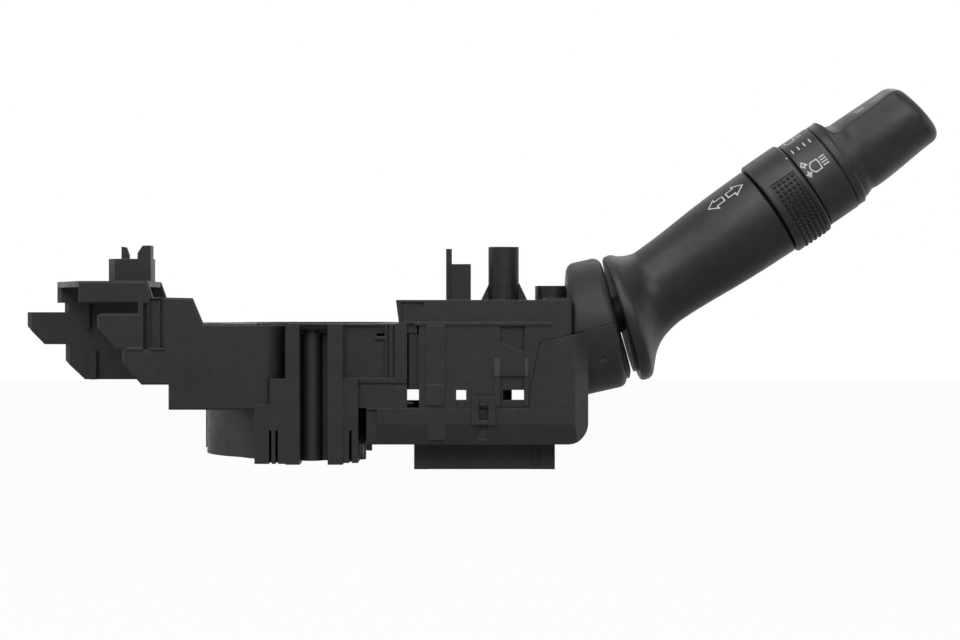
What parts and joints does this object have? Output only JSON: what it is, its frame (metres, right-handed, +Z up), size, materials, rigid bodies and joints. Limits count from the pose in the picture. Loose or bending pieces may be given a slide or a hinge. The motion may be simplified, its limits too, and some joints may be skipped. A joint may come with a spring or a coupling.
{
  "type": "combination stalk switch",
  "caption": "Steering column stalk switch: column ring with open partner socket, lever housing and a lever with fog ring and turning lamp knob.",
  "frame": {"origin": "axis of the steering column bore, in the plane of the ring's top rim", "axes": "+Z up the steering column towards the driver, +X towards the lever's tip, +Y away from the lever's near side"},
  "size_m": [0.2404, 0.0564, 0.0993],
  "materials": {
    "black_plastic": "matte moulded grain",
    "satin_plastic": "fine satin",
    "natural_nylon": "smooth",
    "board_plastic": "smooth",
    "contact_brass": "bright",
    "tinned_brass": "tinned",
    "zinc_steel": "zinc plated",
    "spring_steel": "drawn wire"
  },
  "bodies": {
    "case": {"column_bracket": "black_plastic", "switch_case": "black_plastic", "lower_cover": "black_plastic", "connector_housing": "black_plastic", "connector_terminals": "tinned_brass", "contact_board": "board_plastic", "fixed_contacts": "contact_brass", "turn_detent_cam": "natural_nylon", "cover_screws": "zinc_steel", "bracket_screws": "zinc_steel"},
    "turn_carrier": {"turn_yoke": "natural_nylon", "dip_pivot_pin": "zinc_steel", "turn_plunger_spring": "spring_steel"},
    "turn_detent": {"turn_plunger": "zinc_steel"},
    "cancel_lever": {"cancel_pawl": "natural_nylon"},
    "turn_contacts": {"turn_slider": "natural_nylon", "turn_wipers": "contact_brass"},
    "lever": {"lever_holder": "black_plastic", "stalk_tube": "satin_plastic", "inner_shaft": "natural_nylon", "fog_contact_plate": "board_plastic", "lamp_contact_plate": "board_plastic", "dip_plunger_spring": "spring_steel", "knob_plunger_spring": "spring_steel"},
    "dip_detent": {"dip_plunger": "zinc_steel"},
    "dip_contacts": {"dip_slider": "natural_nylon", "dip_wipers": "contact_brass"},
    "fog_switch": {"fog_ring": "satin_plastic", "fog_wiper": "contact_brass"},
    "lamp_knob": {"symbol_collar": "satin_plastic", "light_knob": "satin_plastic", "lamp_rotor": "natural_nylon", "lamp_wipers": "contact_brass"},
    "knob_detent": {"knob_plunger": "zinc_steel"}
  },
  "joints": [
    {"name": "turn_signal", "type": "hinge", "parent": "case", "child": "turn_carrier", "pos_m": [0.0478, -0.006, -0.0088], "axis": [0, 0, 1], "range_deg": [-13, 13]},
    {"name": "dip_flash", "type": "hinge", "parent": "turn_carrier", "child": "lever", "pos_m": [0.0478, -0.006, -0.0088], "axis": [0, 1, 0], "range_deg": [-7, 6], "stiffness_Nm_per_rad": 2, "springref_deg": -0.69},
    {"name": "fog_turn", "type": "hinge", "parent": "lever", "child": "fog_switch", "pos_m": [0.1052, -0.006, 0.0211], "axis": [0.8251, 0, 0.565], "range_deg": [-20, 20]},
    {"name": "lamp_turn", "type": "hinge", "parent": "lever", "child": "lamp_knob", "pos_m": [0.1052, -0.006, 0.0211], "axis": [0.8251, 0, 0.565], "range_deg": [-44, 22]},
    {"name": "cancel_swing", "type": "hinge", "parent": "turn_carrier", "child": "cancel_lever", "pos_m": [0.0354, -0.006, 0.002], "axis": [0, 0, 1], "range_deg": [-12, 12], "stiffness_Nm_per_rad": 0.004},
    {"name": "turn_detent_slide", "type": "slide", "parent": "turn_carrier", "child": "turn_detent", "axis": [-1, 0, 0], "range_m": [-0.0008, 0.0002], "stiffness_N_per_m": 200, "deforming": ["turn_plunger_spring"]},
    {"name": "dip_detent_slide", "type": "slide", "parent": "lever", "child": "dip_detent", "axis": [-1, 0, 0], "range_m": [-0.0006, 0.0004], "stiffness_N_per_m": 60, "deforming": ["dip_plunger_spring"]},
    {"name": "knob_detent_slide", "type": "slide", "parent": "lever", "child": "knob_detent", "axis": [-0.565, 0, 0.8251], "range_m": [-0.0006, 0.0001], "stiffness_N_per_m": 60, "deforming": ["knob_plunger_spring"]},
    {"name": "turn_contact_slide", "type": "slide", "parent": "case", "child": "turn_contacts", "axis": [0, 1, 0], "range_m": [-0.0031, 0.0031]},
    {"name": "dip_contact_slide", "type": "slide", "parent": "case", "child": "dip_contacts", "axis": [1, 0, 0], "range_m": [-0.0018, 0.0018]}
  ],
  "couplings": [
    {"joint": "turn_contact_slide", "follows": "turn_signal", "m_per_rad": -0.0132},
    {"joint": "dip_contact_slide", "follows": "dip_flash", "m_per_rad": -0.0138}
  ]
}
